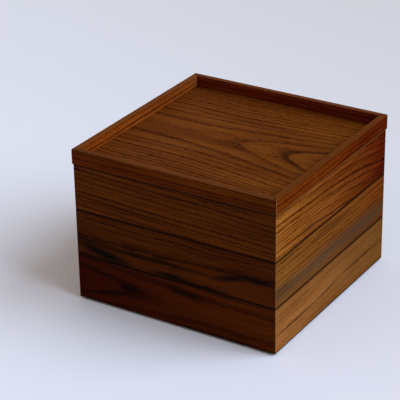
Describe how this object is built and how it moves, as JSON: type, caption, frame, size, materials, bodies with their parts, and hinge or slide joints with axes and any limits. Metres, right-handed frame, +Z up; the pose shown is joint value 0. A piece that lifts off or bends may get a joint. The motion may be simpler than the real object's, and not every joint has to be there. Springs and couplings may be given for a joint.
{
  "type": "stacking box",
  "caption": "Square timber box of stacking tiers under a lid that is also a tray, each a mitred frame round a grooved-in board that nests in the tier beneath.",
  "frame": {"origin": "centre of the lowest floor board's underside, on the surface that the box stands on", "axes": "+Z up, the way the tiers and the lid lift off; -Y to the front boards, +X to the right boards"},
  "size_m": [0.242, 0.242, 0.175],
  "materials": {
    "bottom_tier_timber": "wiped clear-brown lacquer, satin, open ring-porous grain",
    "middle_tier_timber": "wiped clear-brown lacquer, satin, open ring-porous grain",
    "top_tier_timber": "wiped clear-brown lacquer, satin, open ring-porous grain",
    "lid_rail_timber": "wiped clear-brown lacquer, satin, straight grain",
    "lid_panel_timber": "wiped clear-brown lacquer, satin, flat-sawn figure",
    "floor_timber": "wiped clear-brown lacquer, satin",
    "tongue_timber": "bare hardwood, hidden"
  },
  "bodies": {
    "bottom_tier": {"bottom_tier_front_board": "bottom_tier_timber", "bottom_tier_right_board": "bottom_tier_timber", "bottom_tier_back_board": "bottom_tier_timber", "bottom_tier_left_board": "bottom_tier_timber", "bottom_tier_floor_board": "floor_timber", "bottom_tier_corner_tongues": "tongue_timber"},
    "middle_tier": {"middle_tier_front_board": "middle_tier_timber", "middle_tier_right_board": "middle_tier_timber", "middle_tier_back_board": "middle_tier_timber", "middle_tier_left_board": "middle_tier_timber", "middle_tier_floor_board": "floor_timber", "middle_tier_corner_tongues": "tongue_timber"},
    "top_tier": {"top_tier_front_board": "top_tier_timber", "top_tier_right_board": "top_tier_timber", "top_tier_back_board": "top_tier_timber", "top_tier_left_board": "top_tier_timber", "top_tier_floor_board": "floor_timber", "top_tier_corner_tongues": "tongue_timber"},
    "lid": {"lid_front_rail": "lid_rail_timber", "lid_right_rail": "lid_rail_timber", "lid_back_rail": "lid_rail_timber", "lid_left_rail": "lid_rail_timber", "lid_panel": "lid_panel_timber", "lid_corner_tongues": "tongue_timber"}
  },
  "joints": [
    {"name": "middle_tier_lift", "type": "slide", "parent": "bottom_tier", "child": "middle_tier", "axis": [0, 0, 1], "range_m": [0, 0.1]},
    {"name": "top_tier_lift", "type": "slide", "parent": "middle_tier", "child": "top_tier", "axis": [0, 0, 1], "range_m": [0, 0.1]},
    {"name": "lid_lift", "type": "slide", "parent": "top_tier", "child": "lid", "axis": [0, 0, 1], "range_m": [0, 0.1]}
  ]
}
